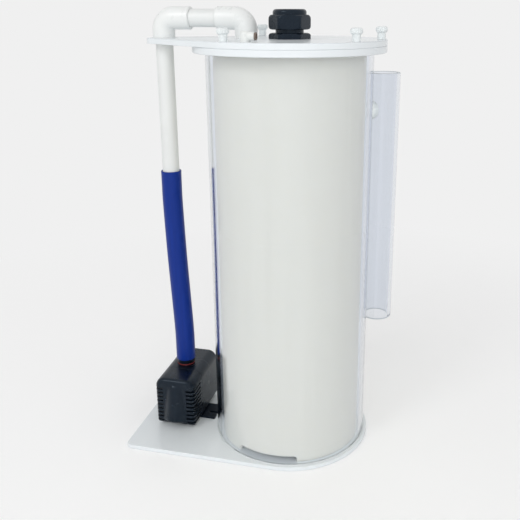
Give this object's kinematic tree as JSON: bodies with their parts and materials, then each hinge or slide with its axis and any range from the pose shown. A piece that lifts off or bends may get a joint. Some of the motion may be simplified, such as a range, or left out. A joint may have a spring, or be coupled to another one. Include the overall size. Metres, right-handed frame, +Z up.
{
  "type": "pump-fed column water filter",
  "caption": "Free-standing clear column filter on a base plate, with a submersible pump, hose and pipe run to its lid, a gland, thumb screws and an open side tube.",
  "frame": {"origin": "on the axis of the chamber tube, at the underside of the base plate", "axes": "+Z up along the chamber tube, +X away from the pump along the base plate"},
  "size_m": [0.2436, 0.172, 0.4172],
  "materials": {
    "white_acrylic": "sawn and polished opal acrylic",
    "clear_acrylic": "extruded clear acrylic",
    "ivory_pvc": "extruded, satin",
    "grey_plastic": "moulded",
    "filter_foam": "open cell foam",
    "filter_media": "granules",
    "black_rubber": "moulded",
    "grey_rubber": "moulded",
    "red_rubber": "moulded",
    "white_pvc": "extruded and moulded",
    "blue_hose": "soft extruded PVC",
    "black_nylon": "moulded",
    "milky_nylon": "moulded, translucent",
    "white_pom": "moulded",
    "brown_pom": "moulded",
    "black_abs": "moulded, satin",
    "copper_winding": "wound and potted",
    "ferrite": "sintered",
    "ceramic": "ground"
  },
  "bodies": {
    "filter": {"base_plate": "white_acrylic", "chamber_tube": "clear_acrylic", "inner_tube": "ivory_pvc", "media_grate": "grey_plastic", "lower_foam": "filter_foam", "media_bed": "filter_media", "upper_foam": "filter_foam", "media_cover_plate": "grey_plastic", "flange_ring": "white_acrylic", "side_tube": "clear_acrylic", "port_bush": "clear_acrylic", "hose": "blue_hose", "pump_foot": "black_abs", "volute": "black_abs", "motor_housing": "black_abs", "stator": "copper_winding", "pump_shaft": "ceramic", "shaft_bushes": "black_rubber", "volute_seal": "black_rubber", "outlet_barb": "black_abs", "outlet_seal": "red_rubber", "cable_inlet": "black_rubber"},
    "lid": {"lid": "white_acrylic", "lid_seal": "black_rubber", "elbow_riser": "white_pvc", "bridge_pipe": "white_pvc", "elbow_inlet": "white_pvc", "inlet_pipe": "white_pvc", "riser_pipe": "white_pvc", "gland_body": "black_nylon", "gland_locknut": "black_nylon", "gland_seal": "grey_rubber", "gland_plug": "black_nylon", "vent_body": "white_pom"},
    "gland_cap": {"gland_cap": "black_nylon"},
    "screw_1": {"thumb_screw_1": "milky_nylon"},
    "screw_2": {"thumb_screw_2": "milky_nylon"},
    "screw_3": {"thumb_screw_3": "milky_nylon"},
    "screw_4": {"thumb_screw_4": "milky_nylon"},
    "collet": {"vent_collet": "brown_pom"},
    "strainer": {"strainer_cover": "black_abs"},
    "impeller": {"impeller": "white_pom", "rotor_magnet": "ferrite"}
  },
  "joints": [
    {"name": "lid_lift", "type": "slide", "parent": "filter", "child": "lid", "axis": [0, 0, 1], "range_m": [0, 0.06]},
    {"name": "gland_cap_turn", "type": "hinge", "parent": "lid", "child": "gland_cap", "pos_m": [0, 0, 0.4], "axis": [0, 0, 1], "range_deg": [0, 1080]},
    {"name": "screw_1_turn", "type": "hinge", "parent": "lid", "child": "screw_1", "pos_m": [-0.03779, -0.07108, 0.395], "axis": [0, 0, 1], "range_deg": [0, 2430]},
    {"name": "screw_2_turn", "type": "hinge", "parent": "lid", "child": "screw_2", "pos_m": [0.06594, -0.04617, 0.395], "axis": [0, 0, 1], "range_deg": [0, 2430]},
    {"name": "screw_3_turn", "type": "hinge", "parent": "lid", "child": "screw_3", "pos_m": [0.08019, 0.00702, 0.395], "axis": [0, 0, 1], "range_deg": [0, 2430]},
    {"name": "screw_4_turn", "type": "hinge", "parent": "lid", "child": "screw_4", "pos_m": [-0.04384, 0.06751, 0.395], "axis": [0, 0, 1], "range_deg": [0, 2430]},
    {"name": "collet_push", "type": "slide", "parent": "lid", "child": "collet", "axis": [-1, 0, 0], "range_m": [0, 0.0006]},
    {"name": "strainer_pull", "type": "slide", "parent": "filter", "child": "strainer", "axis": [0, -1, 0], "range_m": [0, 0.03]},
    {"name": "impeller_spin", "type": "hinge", "parent": "filter", "child": "impeller", "pos_m": [-0.111, 0, 0.0295], "axis": [0, 1, 0], "continuous": true}
  ]
}
